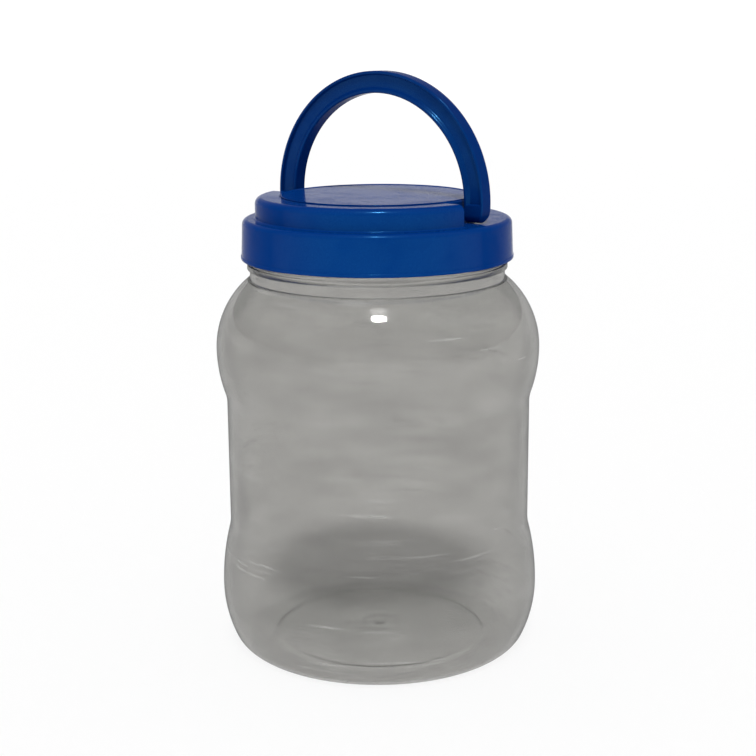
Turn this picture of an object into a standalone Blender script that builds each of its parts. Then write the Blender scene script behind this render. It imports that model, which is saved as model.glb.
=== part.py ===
"""Clear plastic storage jar with a screw lid and a fold-down carrying handle.

Metres, +Z up. The origin is the middle of the base, on the jar's axis. The
handle's pivots lie along X. It stands upright as modelled, and folds down
towards +Y into the open half of the lid.
"""

import math

import bmesh
import bpy

# Facets round a turned piece, and round a pin
SIDES = 60
PIN_SIDES = 20

# Jar body, radii of the side and heights above the floor
BULGE_RADIUS = 0.0770
WAIST_DEPTH = 0.0043
LOW_BULGE_HEIGHT = 0.0290
HIGH_BULGE_HEIGHT = 0.1465
BODY_WALL = 0.0011

# Curves of the jar's side, from the floor up
HEEL_CURVE = 0.0100
LOW_FOOT_CURVE = 0.0560
LOW_CROWN_CURVE = 0.1100
HIGH_FOOT_CURVE = 0.0650
SHOULDER_CURVE = 0.0420

# Jar base: a flat standing ring round a shallow push-up with its gate mark
PUSH_UP_RADIUS = 0.0495
PUSH_UP_STEP = 0.0015
PUSH_UP_SLOPE = 0.0020
PUSH_UP_DOME = 0.0025
GATE_RADIUS = 0.0030
GATE_HEIGHT = 0.0006

# Jar neck, from the shoulder up to the mouth
NECK_RADIUS = 0.0603
NECK_LEDGE = 0.0012
NECK_BAND_HEIGHT = 0.0053
RING_HEIGHT = 0.0024
RING_DEPTH = 0.0012
RING_CHAMFER = 0.0004
FINISH_HEIGHT = 0.0173
FINISH_INSET = 0.0005
NECK_WALL = 0.0022
MOUTH_CHAMFER = 0.0005

# Screw thread of the neck and of the lid, a right-hand helix
THREAD_PITCH = 0.0060
THREAD_DEPTH = 0.0016
THREAD_ROOT_WIDTH = 0.0026
THREAD_TIP_WIDTH = 0.0014
THREAD_BURY = 0.0006
THREAD_CLEARANCE = 0.0008
THREAD_START_LIFT = 0.0055
NECK_THREAD_TURNS = 1.25
LID_THREAD_TURNS = 1.0
LID_THREAD_LEAD_SHARE = 0.1
THREAD_FADE_STEPS = 5

# Sealing wad between the mouth and the lid's top plate
WAD_THICKNESS = 0.0012
WAD_EDGE_GAP = 0.0010
SEAT_GAP = 0.0003

# Lid: skirt, shoulder plate and the raised boss in two radii
LID_WALL = 0.0018
LID_PLATE = 0.0020
SKIRT_GAP = 0.0023
SKIRT_DRAFT = 0.0007
SKIRT_BEAD = 0.0003
SKIRT_BEAD_HEIGHT = 0.0014
SKIRT_CHAMFER = 0.0008
LID_EDGE_CURVE = 0.0026
NARROW_BOSS_RADIUS = 0.0459
WIDE_BOSS_RADIUS = 0.0572
WIDE_BOSS_HEIGHT = 0.0101
DISC_RISE = 0.0005
DISC_EDGE_CURVE = 0.0008
WIDE_EDGE_CURVE = 0.0032
STEP_SETBACK = 0.0120
BOSS_WALL = 0.0018
CAVITY_CURVE = 0.0010

# Handle: an arch of H section on two solid legs with pivot pins
LEG_CLEARANCE = 0.0023
HANDLE_WIDTH = 0.0101
HANDLE_THICKNESS = 0.0075
LEG_LIFT = 0.0003
LEG_LENGTH = 0.0048
LEG_CORNER_HEIGHT = 0.0070
LEG_CORNER_CURVE = 0.0110
PIVOT_OFFSET = 0.0032
CHANNEL_DEPTH = 0.0013
INNER_RIM_SHARE = 0.17
OUTER_RIM_SHARE = 0.21
CHANNEL_SLOPE_SHARE = 0.05
PIN_RADIUS = 0.0023
PIN_CLEARANCE = 0.0003
PIN_REACH = 0.0015
ARCH_STEPS = 40
LEG_CORNER_STEPS = 2
LEG_END_STEPS = 5
LEG_END_SHARE = 0.9

# How far a cutter runs past what it cuts, and a joined piece into the other
OVERRUN = 0.0010

# Places worked out from the sizes above
BORE_RADIUS = NECK_RADIUS - FINISH_INSET - NECK_WALL
THREAD_RADIUS = NECK_RADIUS - FINISH_INSET
LEDGE_RADIUS = NECK_RADIUS + NECK_LEDGE
NECK_FOOT = HIGH_BULGE_HEIGHT + math.sqrt(
    SHOULDER_CURVE ** 2 - (LEDGE_RADIUS - BULGE_RADIUS + SHOULDER_CURVE) ** 2)
RING_FOOT = NECK_FOOT + NECK_BAND_HEIGHT
RING_TOP = RING_FOOT + RING_HEIGHT
MOUTH = RING_TOP + FINISH_HEIGHT
WAD_FOOT = MOUTH + SEAT_GAP
PLATE_FOOT = WAD_FOOT + WAD_THICKNESS + SEAT_GAP
PLATE_TOP = PLATE_FOOT + LID_PLATE
SKIRT_FOOT = RING_TOP + SKIRT_GAP
LID_BORE = THREAD_RADIUS + THREAD_DEPTH + THREAD_CLEARANCE
LID_RADIUS = LID_BORE + LID_WALL
WIDE_TOP = PLATE_TOP + WIDE_BOSS_HEIGHT
DISC_TOP = WIDE_TOP + DISC_RISE
PIVOT_HEIGHT = PLATE_TOP + LEG_LIFT + HANDLE_THICKNESS / 2
ARCH_INNER_RADIUS = NARROW_BOSS_RADIUS + LEG_CLEARANCE


def clear_scene():
    for thing in list(bpy.data.objects):
        bpy.data.objects.remove(thing, do_unlink=True)


def plastic(name, colour, roughness, transmission=0.0):
    material = bpy.data.materials.new(name)
    material.use_nodes = True
    shader = material.node_tree.nodes["Principled BSDF"]
    shader.inputs["Base Color"].default_value = (*colour, 1.0)
    shader.inputs["Roughness"].default_value = roughness
    shader.inputs["Metallic"].default_value = 0.0
    shader.inputs["Transmission Weight"].default_value = transmission
    return material


def add_object(name, mesh_data, material=None, origin=(0.0, 0.0, 0.0)):
    """Makes an object of a bmesh, with its origin moved to the given place."""
    for vert in mesh_data.verts:
        for axis in range(3):
            vert.co[axis] -= origin[axis]
    bmesh.ops.recalc_face_normals(mesh_data, faces=mesh_data.faces)
    mesh = bpy.data.meshes.new(name)
    mesh_data.to_mesh(mesh)
    mesh_data.free()
    mesh.shade_smooth()
    mesh.set_sharp_from_angle(angle=math.radians(32))
    thing = bpy.data.objects.new(name, mesh)
    thing.location = origin
    if material:
        mesh.materials.append(material)
    bpy.context.scene.collection.objects.link(thing)
    return thing


def as_tool(thing):
    """Keeps an object as a guide for a Boolean, out of the finished part."""
    thing.hide_render = True
    thing.display_type = "WIRE"
    return thing


def boolean(thing, tool, operation):
    step = thing.modifiers.new(tool.name, "BOOLEAN")
    step.operation = operation
    step.solver = "EXACT"
    step.object = tool


def arc(centre, radius, start, end, steps):
    """Points (radius, height) along an arc, with the angles in degrees."""
    points = []
    for step in range(steps + 1):
        angle = math.radians(start + (end - start) * step / steps)
        points.append((centre[0] + radius * math.cos(angle), centre[1] + radius * math.sin(angle)))
    return points


def turned(outline):
    """Turns a closed outline of (radius, height) points round the Z axis."""
    mesh_data = bmesh.new()
    rings = []
    for radius, height in outline:
        if radius == 0.0:
            rings.append([mesh_data.verts.new((0.0, 0.0, height))])
            continue
        ring = []
        for side in range(SIDES):
            angle = 2 * math.pi * side / SIDES
            ring.append(mesh_data.verts.new((radius * math.cos(angle), radius * math.sin(angle), height)))
        rings.append(ring)
    for index, ring in enumerate(rings):
        following = rings[(index + 1) % len(rings)]
        if len(ring) == 1 and len(following) == 1:
            continue
        for side in range(SIDES):
            after = (side + 1) % SIDES
            if len(ring) == 1:
                corners = [ring[0], following[after], following[side]]
            elif len(following) == 1:
                corners = [ring[side], ring[after], following[0]]
            else:
                corners = [ring[side], ring[after], following[after], following[side]]
            mesh_data.faces.new(corners)
    return mesh_data


def swept(loops):
    """Joins closed loops of points, one after the other, and caps both ends."""
    mesh_data = bmesh.new()
    rings = [[mesh_data.verts.new(point) for point in loop] for loop in loops]
    count = len(rings[0])
    for ring, following in zip(rings, rings[1:]):
        for side in range(count):
            after = (side + 1) % count
            mesh_data.faces.new([ring[side], ring[after], following[after], following[side]])
    mesh_data.faces.new(rings[0])
    mesh_data.faces.new(rings[-1])
    return mesh_data


def rod_along_x(start, end, height, depth, radius):
    """A round rod between two places along X."""
    loops = []
    for place in (start, end):
        loop = []
        for side in range(PIN_SIDES):
            angle = 2 * math.pi * side / PIN_SIDES
            loop.append((place, depth + radius * math.cos(angle), height + radius * math.sin(angle)))
        loops.append(loop)
    return swept(loops)


def box_between(low, high):
    loops = []
    for height in (low[2], high[2]):
        loops.append([(low[0], low[1], height), (high[0], low[1], height),
                      (high[0], high[1], height), (low[0], high[1], height)])
    return swept(loops)


def body_side(inset, top_radius):
    """The jar's side from the standing ring up to where it reaches top_radius.

    An inset of zero is the outside. A wall's thickness gives the inside.
    """
    foot_centre = (BULGE_RADIUS - LOW_FOOT_CURVE, LOW_BULGE_HEIGHT)
    heel_drop = LOW_BULGE_HEIGHT - HEEL_CURVE
    heel_reach = math.sqrt((LOW_FOOT_CURVE - HEEL_CURVE) ** 2 - heel_drop ** 2)
    heel_centre = (foot_centre[0] + heel_reach, HEEL_CURVE)
    heel_angle = math.degrees(math.atan2(heel_drop, heel_reach))
    waist = BULGE_RADIUS - WAIST_DEPTH - inset
    crown_centre = (BULGE_RADIUS - LOW_CROWN_CURVE, LOW_BULGE_HEIGHT)
    crown = LOW_CROWN_CURVE - inset
    crown_angle = math.degrees(math.acos((waist - crown_centre[0]) / crown))
    high_foot_centre = (BULGE_RADIUS - HIGH_FOOT_CURVE, HIGH_BULGE_HEIGHT)
    high_foot = HIGH_FOOT_CURVE - inset
    high_angle = math.degrees(math.acos((waist - high_foot_centre[0]) / high_foot))
    shoulder_centre = (BULGE_RADIUS - SHOULDER_CURVE, HIGH_BULGE_HEIGHT)
    shoulder = SHOULDER_CURVE - inset
    shoulder_angle = math.degrees(math.acos((top_radius - shoulder_centre[0]) / shoulder))
    points = arc(heel_centre, HEEL_CURVE - inset, -90, -heel_angle, 4)
    points += arc(foot_centre, LOW_FOOT_CURVE - inset, -heel_angle, 0, 4)[1:]
    points += arc(crown_centre, crown, 0, crown_angle, 3)[1:]
    points += arc(high_foot_centre, high_foot, -high_angle, 0, 3)
    points += arc(shoulder_centre, shoulder, 0, shoulder_angle, 6)[1:]
    return points


def dome(inset):
    """The push-up from its rim to the jar's axis, raised by the inset."""
    rim = PUSH_UP_STEP + inset
    points = []
    for share in (1.0, 0.7, 0.35):
        points.append((PUSH_UP_RADIUS * share, rim + PUSH_UP_DOME * (1 - share ** 2)))
    return points


def thread_ridge(name, wall_radius, outward, foot, turns, lead_turns):
    """A helical ridge on a wall, buried in it at its root and faded at its ends."""
    root = wall_radius - outward * THREAD_BURY
    tip = wall_radius + outward * THREAD_DEPTH
    hidden = (root + wall_radius) / 2
    steps = round(turns * SIDES)
    loops = []
    for step in range(steps + 1):
        angle = 2 * math.pi * (lead_turns + step / SIDES)
        middle = foot + THREAD_PITCH * (lead_turns + step / SIDES)
        shown = min(1.0, step / THREAD_FADE_STEPS, (steps - step) / THREAD_FADE_STEPS)
        edge = hidden + (tip - hidden) * shown
        loop = []
        for radius, rise in ((root, -THREAD_ROOT_WIDTH / 2), (edge, -THREAD_TIP_WIDTH / 2),
                             (edge, THREAD_TIP_WIDTH / 2), (root, THREAD_ROOT_WIDTH / 2)):
            loop.append((radius * math.cos(angle), radius * math.sin(angle), middle + rise))
        loops.append(loop)
    return as_tool(add_object(name, swept(loops)))


def make_jar(material):
    outside = body_side(0.0, LEDGE_RADIUS)
    inside = body_side(BODY_WALL, BORE_RADIUS)
    ring = NECK_RADIUS + RING_DEPTH
    outline = [(0.0, PUSH_UP_STEP + PUSH_UP_DOME - GATE_HEIGHT)]
    outline += [(GATE_RADIUS, PUSH_UP_STEP + PUSH_UP_DOME - GATE_HEIGHT)]
    outline += [(GATE_RADIUS, PUSH_UP_STEP + PUSH_UP_DOME)]
    outline += reversed(dome(0.0))
    outline += [(PUSH_UP_RADIUS + PUSH_UP_SLOPE, 0.0)]
    outline += outside
    outline += [
        (NECK_RADIUS, NECK_FOOT),
        (NECK_RADIUS, RING_FOOT),
        (ring - RING_CHAMFER, RING_FOOT),
        (ring, RING_FOOT + RING_CHAMFER),
        (ring, RING_TOP - RING_CHAMFER),
        (ring - RING_CHAMFER, RING_TOP),
        (THREAD_RADIUS, RING_TOP),
        (THREAD_RADIUS, MOUTH - MOUTH_CHAMFER),
        (THREAD_RADIUS - MOUTH_CHAMFER, MOUTH),
        (BORE_RADIUS + MOUTH_CHAMFER, MOUTH),
        (BORE_RADIUS, MOUTH - MOUTH_CHAMFER),
    ]
    outline += reversed(inside)
    outline += [(PUSH_UP_RADIUS + PUSH_UP_SLOPE, BODY_WALL)]
    outline += dome(BODY_WALL)
    outline += [(0.0, PUSH_UP_STEP + PUSH_UP_DOME + BODY_WALL)]
    jar = add_object("jar_body", turned(outline), material)
    foot = RING_TOP + THREAD_START_LIFT + THREAD_ROOT_WIDTH / 2
    boolean(jar, thread_ridge("neck_thread", THREAD_RADIUS, 1, foot, NECK_THREAD_TURNS, 0.0), "UNION")
    return jar


def make_wad(material):
    radius = LID_BORE - WAD_EDGE_GAP
    top = WAD_FOOT + WAD_THICKNESS
    outline = [(0.0, WAD_FOOT), (radius, WAD_FOOT), (radius, top), (0.0, top)]
    return add_object("seal_wad", turned(outline), material, (0.0, 0.0, WAD_FOOT))


def boss_outline(foot, top, radius, curve):
    """A solid turned boss with a rounded top edge."""
    outline = [(0.0, foot), (radius, foot)]
    outline += arc((radius - curve, top - curve), curve, 0, 90, 4)
    outline += [(0.0, top)]
    return outline


def half_boss(name, foot, top, radius, curve, face):
    """The part of a turned boss in front of a flat face across the lid."""
    boss = as_tool(add_object(name, turned(boss_outline(foot, top, radius, curve))))
    reach = radius + OVERRUN
    behind = box_between((-reach, face, foot - OVERRUN), (reach, reach, top + OVERRUN))
    boolean(boss, as_tool(add_object(name + "_trim", behind)), "DIFFERENCE")
    return boss


def make_lid(material):
    bead = LID_RADIUS + SKIRT_BEAD
    crown = LID_RADIUS - SKIRT_DRAFT
    bead_top = SKIRT_FOOT + SKIRT_BEAD_HEIGHT
    skirt = [
        (0.0, SKIRT_FOOT),
        (LID_RADIUS - SKIRT_CHAMFER, SKIRT_FOOT),
        (bead, SKIRT_FOOT + SKIRT_CHAMFER),
        (bead, bead_top),
        (LID_RADIUS, bead_top + SKIRT_BEAD),
    ]
    skirt += arc((crown - LID_EDGE_CURVE, PLATE_TOP - LID_EDGE_CURVE), LID_EDGE_CURVE, 0, 90, 4)
    skirt += [(0.0, PLATE_TOP)]
    lid = add_object("screw_lid", turned(skirt), material)

    root = PLATE_TOP - LID_PLATE / 2
    narrow = boss_outline(root, DISC_TOP, NARROW_BOSS_RADIUS, DISC_EDGE_CURVE)
    boolean(lid, as_tool(add_object("narrow_boss", turned(narrow))), "UNION")
    wide = half_boss("wide_boss", root, WIDE_TOP, WIDE_BOSS_RADIUS, WIDE_EDGE_CURVE, -STEP_SETBACK)
    boolean(lid, wide, "UNION")

    below = SKIRT_FOOT - OVERRUN
    hollow = [(0.0, below), (LID_BORE, below), (LID_BORE, PLATE_FOOT - CAVITY_CURVE),
              (LID_BORE - CAVITY_CURVE, PLATE_FOOT)]
    hollow += boss_outline(PLATE_FOOT, DISC_TOP - BOSS_WALL, NARROW_BOSS_RADIUS - BOSS_WALL,
                           DISC_EDGE_CURVE)[1:]
    boolean(lid, as_tool(add_object("lid_hollow", turned(hollow))), "DIFFERENCE")
    wide_hollow = half_boss("wide_hollow", PLATE_FOOT - LID_PLATE / 2, WIDE_TOP - BOSS_WALL,
                            WIDE_BOSS_RADIUS - BOSS_WALL, WIDE_EDGE_CURVE - BOSS_WALL,
                            -STEP_SETBACK - BOSS_WALL)
    boolean(lid, wide_hollow, "DIFFERENCE")

    foot = RING_TOP + THREAD_START_LIFT + (THREAD_ROOT_WIDTH - THREAD_PITCH) / 2
    ridge = thread_ridge("lid_thread", LID_BORE, -1, foot, LID_THREAD_TURNS, LID_THREAD_LEAD_SHARE)
    boolean(lid, ridge, "UNION")

    reach = NARROW_BOSS_RADIUS + OVERRUN
    drill = rod_along_x(-reach, reach, PIVOT_HEIGHT, PIVOT_OFFSET, PIN_RADIUS + PIN_CLEARANCE)
    boolean(lid, as_tool(add_object("pin_drill", drill)), "DIFFERENCE")
    return lid


def handle_section(inner, outer, height, outward, rise, thickness, channel):
    """One H-shaped loop of the handle, from its inner to its outer edge.

    The inner edge is at distance inner from the arch's centre along the
    direction (outward, rise), and the centre is at the given height.
    """
    width = outer - inner
    half = thickness / 2
    shares = (0.0, INNER_RIM_SHARE, INNER_RIM_SHARE + CHANNEL_SLOPE_SHARE,
              1 - OUTER_RIM_SHARE - CHANNEL_SLOPE_SHARE, 1 - OUTER_RIM_SHARE, 1.0)
    depths = (0.0, 0.0, channel, channel, 0.0, 0.0)
    loop = []
    for share, depth in zip(shares, depths):
        distance = inner + width * share
        loop.append((distance * outward, PIVOT_OFFSET - half + depth, height + distance * rise))
    for share, depth in zip(reversed(shares), reversed(depths)):
        distance = inner + width * share
        loop.append((distance * outward, PIVOT_OFFSET + half - depth, height + distance * rise))
    return loop


def leg_sections(side):
    """Loops of one solid leg from the arch down to its rounded end."""
    outer = ARCH_INNER_RADIUS + HANDLE_WIDTH
    bottom = PIVOT_HEIGHT - HANDLE_THICKNESS / 2
    corner_height = bottom + LEG_CORNER_HEIGHT
    top = PIVOT_HEIGHT + LEG_LENGTH
    levels = [(top, HANDLE_THICKNESS)]
    for step in range(LEG_CORNER_STEPS):
        share = step / LEG_CORNER_STEPS
        levels.append((corner_height + (PIVOT_HEIGHT - corner_height) * share, HANDLE_THICKNESS))
    for step in range(LEG_END_STEPS + 1):
        angle = LEG_END_SHARE * math.pi / 2 * step / LEG_END_STEPS
        drop = HANDLE_THICKNESS / 2 * math.sin(angle)
        levels.append((PIVOT_HEIGHT - drop, HANDLE_THICKNESS * math.cos(angle)))
    loops = []
    for height, thickness in levels:
        fall = max(0.0, corner_height - height)
        tuck = LEG_CORNER_CURVE - math.sqrt(LEG_CORNER_CURVE ** 2 - fall ** 2)
        loops.append(handle_section(ARCH_INNER_RADIUS, outer - tuck, height, side, 0.0, thickness, 0.0))
    return loops


def make_handle(material):
    outer = ARCH_INNER_RADIUS + HANDLE_WIDTH
    centre = PIVOT_HEIGHT + LEG_LENGTH
    loops = list(reversed(leg_sections(-1)))
    for step in range(ARCH_STEPS + 1):
        angle = math.pi * (1 - step / ARCH_STEPS)
        loops.append(handle_section(ARCH_INNER_RADIUS, outer, centre, math.cos(angle),
                                    math.sin(angle), HANDLE_THICKNESS, CHANNEL_DEPTH))
    loops += leg_sections(1)
    handle = add_object("carry_handle", swept(loops), material, (0.0, PIVOT_OFFSET, PIVOT_HEIGHT))
    tip = NARROW_BOSS_RADIUS - BOSS_WALL - PIN_REACH
    for side, name in ((-1, "left_pin"), (1, "right_pin")):
        root = side * (ARCH_INNER_RADIUS + OVERRUN)
        pin = rod_along_x(min(side * tip, root), max(side * tip, root), PIVOT_HEIGHT, PIVOT_OFFSET, PIN_RADIUS)
        boolean(handle, as_tool(add_object(name, pin)), "UNION")
    return handle


def main():
    clear_scene()
    clear = plastic("clear_plastic", (0.72, 0.72, 0.70), 0.08, 0.9)
    blue = plastic("blue_plastic", (0.006, 0.045, 0.22), 0.25)
    foam = plastic("foam", (0.82, 0.82, 0.80), 0.8)
    make_jar(clear)
    make_wad(foam)
    make_lid(blue)
    make_handle(blue)


main()
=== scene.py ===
"""Looks of a clear plastic storage jar with a blue screw lid and an arch handle.

Metres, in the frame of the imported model: +Z up the jar's axis, the handle's
pivots along X, and the wide half of the lid's boss at -Y. Four fine meshes take
the place of the four solids.
"""

import math

import bmesh
import bpy
from mathutils import Matrix, Vector


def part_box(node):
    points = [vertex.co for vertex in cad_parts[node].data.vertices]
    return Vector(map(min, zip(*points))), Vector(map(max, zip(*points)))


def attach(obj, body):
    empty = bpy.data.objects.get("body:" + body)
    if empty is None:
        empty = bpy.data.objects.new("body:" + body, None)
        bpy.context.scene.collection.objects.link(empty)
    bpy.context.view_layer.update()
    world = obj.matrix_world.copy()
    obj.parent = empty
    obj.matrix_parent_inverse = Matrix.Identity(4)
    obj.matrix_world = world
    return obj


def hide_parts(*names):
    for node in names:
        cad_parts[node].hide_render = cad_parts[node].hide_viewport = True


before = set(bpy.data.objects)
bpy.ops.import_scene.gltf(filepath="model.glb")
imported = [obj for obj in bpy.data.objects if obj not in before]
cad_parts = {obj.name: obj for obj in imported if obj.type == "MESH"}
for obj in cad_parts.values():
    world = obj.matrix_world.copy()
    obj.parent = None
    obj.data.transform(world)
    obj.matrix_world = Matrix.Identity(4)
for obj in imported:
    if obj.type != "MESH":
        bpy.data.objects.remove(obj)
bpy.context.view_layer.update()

JAR_LOW, JAR_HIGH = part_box("jar_body")
WAD_LOW, WAD_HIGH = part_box("seal_wad")
LID_LOW, LID_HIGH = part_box("screw_lid")
HANDLE_LOW, HANDLE_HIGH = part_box("carry_handle")

# Camera, as fitted to the photograph: distance from the axis, height and angles
IMAGE_PIXELS = 756
FOCAL_PIXELS = 1495.3
SENSOR_WIDTH = 36.0
CAMERA_DISTANCE = 0.7021
CAMERA_HEIGHT = 0.2957
CAMERA_AZIMUTH = math.radians(35.5)
CAMERA_PITCH = math.radians(13.30)
CAMERA_YAW = math.radians(-0.005)
CAMERA_ROLL = math.radians(0.397)

# Light: one wide lamp high above the camera, and an even pale world
LAMP_ELEVATION = math.radians(64)
LAMP_SIDE = math.radians(1)
LAMP_WIDTH = math.radians(8)
LAMP_STRENGTH = 1.6
WORLD_LEVEL = 0.55
WHITE = (1, 1, 1, 1)
FLOOR_COLOUR = (0.98, 0.98, 0.98, 1)
FLOOR_DROP = 0.0003
FLOOR_RADIUS = 6.0
FLOOR_STEP = 0.5
FLOOR_SIDES = 96
COVE_RADIUS = 1.2
COVE_STEPS = 16

# Facets round a turned piece, round a pin, in small rounded corners and in the
# larger corners of the lid, of its boss and of its hollow
SIDES = 180
PIN_SIDES = 40
CORNER_STEPS = 4
LID_CORNER_STEPS = 10
BOSS_CORNER_STEPS = 8
CAVITY_STEPS = 5

# Edges sharper than these, in degrees, are shaded sharp
SHARP_ANGLE = 35
SOFT_SHARP_ANGLE = 40

# Jar: radii of the side and heights above the floor
BULGE_RADIUS = JAR_HIGH.x
MOUTH = JAR_HIGH.z
WAIST_DEPTH = 0.0043
LOW_BULGE_HEIGHT = 0.0290
HIGH_BULGE_HEIGHT = 0.1465
BODY_WALL = 0.0011
HEEL_CURVE = 0.0100
LOW_FOOT_CURVE = 0.0560
LOW_CROWN_CURVE = 0.1100
HIGH_FOOT_CURVE = 0.0650
SHOULDER_CURVE = 0.0420
LOW_CREASE_CURVE = 0.0250
HIGH_CREASE_CURVE = 0.0180
BULGE_STEPS = 12
CREASE_STEPS = 8
SHOULDER_STEPS = 24
WAIST_STEP = 0.0040

# Jar base
PUSH_UP_RADIUS = 0.0495
PUSH_UP_STEP = 0.0015
PUSH_UP_SLOPE = 0.0020
PUSH_UP_DOME = 0.0025
PUSH_UP_CURVE = 0.0030
PUSH_UP_INSIDE_CURVE = 0.0034
GATE_RADIUS = 0.0030
GATE_HEIGHT = 0.0006
GATE_RING_RADIUS = 0.0085
GATE_RING_HEIGHT = 0.0003
DOME_SHARES = (0.22, 0.34, 0.47, 0.6, 0.75, 0.88)

# Jar neck
NECK_RADIUS = 0.0603
NECK_LEDGE = 0.0012
NECK_BAND_HEIGHT = 0.0053
NECK_CURVE = 0.0003
RING_HEIGHT = 0.0024
RING_DEPTH = 0.0012
RING_CURVE = 0.00025
FINISH_INSET = 0.0005
NECK_WALL = 0.0022
MOUTH_CURVE = 0.0006
FINISH_STEP = 0.0004

# Screw thread of the neck and of the lid
THREAD_PITCH = 0.0060
THREAD_DEPTH = 0.0016
THREAD_ROOT_WIDTH = 0.0026
THREAD_TIP_WIDTH = 0.0014
THREAD_CLEARANCE = 0.0008
THREAD_START_LIFT = 0.0055
THREAD_FADE_TURNS = 0.06
NECK_THREAD_TURNS = 1.25
LID_THREAD_TURNS = 1.0
LID_THREAD_LEAD = 0.1

# Wad
WAD_EDGE_CURVE = 0.0003
WAD_PRESS_DEPTH = 0.00012

# Lid
SKIRT_FOOT = LID_LOW.z
DISC_TOP = LID_HIGH.z
LID_WALL = 0.0018
LID_PLATE = 0.0020
SKIRT_DRAFT = 0.0007
SKIRT_BEAD = 0.0003
SKIRT_BEAD_HEIGHT = 0.0014
SKIRT_CURVE = 0.0005
LID_EDGE_CURVE = 0.0026
NARROW_BOSS_RADIUS = 0.0459
WIDE_BOSS_RADIUS = 0.0572
WIDE_BOSS_HEIGHT = 0.0101
DISC_RISE = 0.0005
DISC_EDGE_CURVE = 0.00015
LIP_WIDTH = 0.0009
LIP_HEIGHT = 0.0003
GROOVE_WIDTH = 0.0007
GROOVE_DEPTH = 0.0006
GROOVE_OVERLAP = 0.0001
NARROW_EDGE_CURVE = 0.0008
WIDE_EDGE_CURVE = 0.0032
BOSS_FOOT_CURVE = 0.0009
BOSS_FOOT_SHARE = 0.999
STEP_SETBACK = 0.0120
STEP_EDGE_CURVE = 0.0006
BOSS_WALL = 0.0018
CAVITY_CURVE = 0.0010

# Handle
HANDLE_THICKNESS = HANDLE_HIGH.y - HANDLE_LOW.y
PIVOT_OFFSET = (HANDLE_HIGH.y + HANDLE_LOW.y) / 2
ARCH_OUTER_RADIUS = HANDLE_HIGH.x
HANDLE_WIDTH = 0.0101
ARCH_INNER_RADIUS = ARCH_OUTER_RADIUS - HANDLE_WIDTH
LEG_LIFT = 0.0003
LEG_LENGTH = 0.0048
LEG_CORNER_HEIGHT = 0.0070
LEG_CORNER_CURVE = 0.0110
LEDGE_LENGTH = 0.0005
CHANNEL_DEPTH = 0.0015
INNER_RIM = 0.0013
OUTER_RIM = 0.0012
INNER_SLOPE = 0.0016
OUTER_SLOPE = 0.0008
CHANNEL_STEP = 0.0016
INNER_SLOPE_STEPS = 8
OUTER_SLOPE_STEPS = 6
HANDLE_CORNER_CURVE = 0.0007
PIN_RADIUS = 0.0023
PIN_CLEARANCE = 0.0003
PIN_REACH = 0.0015
PIN_TIP_CURVE = 0.0004
ARCH_STEPS = 120
LEDGE_STEPS = 4
LEG_STEP = 0.0006
LEG_END_STEPS = 12
LEG_END_SHARE = 0.95

# How far cutting shapes run past what they cut, and how near counts as touching
OVERRUN = 0.0010
TOUCHING = 0.00001

# Places worked out from the sizes above
THREAD_RADIUS = NECK_RADIUS - FINISH_INSET
BORE_RADIUS = THREAD_RADIUS - NECK_WALL
LEDGE_RADIUS = NECK_RADIUS + NECK_LEDGE
NECK_FOOT = HIGH_BULGE_HEIGHT + math.sqrt(
    SHOULDER_CURVE ** 2 - (LEDGE_RADIUS - BULGE_RADIUS + SHOULDER_CURVE) ** 2)
RING_FOOT = NECK_FOOT + NECK_BAND_HEIGHT
RING_TOP = RING_FOOT + RING_HEIGHT
LID_BORE = THREAD_RADIUS + THREAD_DEPTH + THREAD_CLEARANCE
LID_RADIUS = LID_BORE + LID_WALL
WIDE_TOP = DISC_TOP - DISC_RISE
PLATE_TOP = WIDE_TOP - WIDE_BOSS_HEIGHT
PLATE_FOOT = PLATE_TOP - LID_PLATE
PIVOT_HEIGHT = PLATE_TOP + LEG_LIFT + HANDLE_THICKNESS / 2
ARCH_CENTRE = PIVOT_HEIGHT + LEG_LENGTH
GATE_CURVE = GATE_HEIGHT / 3
GATE_RING_CURVE = GATE_RING_HEIGHT / 3

# Looks. A noise is its scale per metre, the stretch of its axes, its detail and its
# roughness. A bump is its strength and distance in metres. A range gives the two
# values that a ramp runs between; an amount gives those and the two that come out.
EVEN = (1.0, 1.0, 1.0)
FACING_BLEND = 0.5
FLOW_RANGE = (0.3, 0.7)

# Looks of the clear plastic: what its wall passes facing the eye, aslant, at the rim
# and in a broken band just inside it. Its grey is painted shade that stands for a dim
# room seen through the clear wall, made uneven by the wall's own thickness
CLEAR_THICK_SHADED_COLOUR = (0.730, 0.727, 0.718, 1)
CLEAR_THIN_SHADED_COLOUR = (0.788, 0.785, 0.775, 1)
# Aslant the colour darkens partly for the longer path through the wall and partly as painted shade; at
# the rim it is painted shade along the outline
CLEAR_SLANT_SHADE_COLOUR = (0.50, 0.50, 0.49, 1)
CLEAR_SLANT_POWER = 5.0
CLEAR_RIM_SHADE_COLOUR = (0.24, 0.24, 0.24, 1)
CLEAR_RIM_SHADE_RANGE = (0.78, 0.97)
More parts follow.
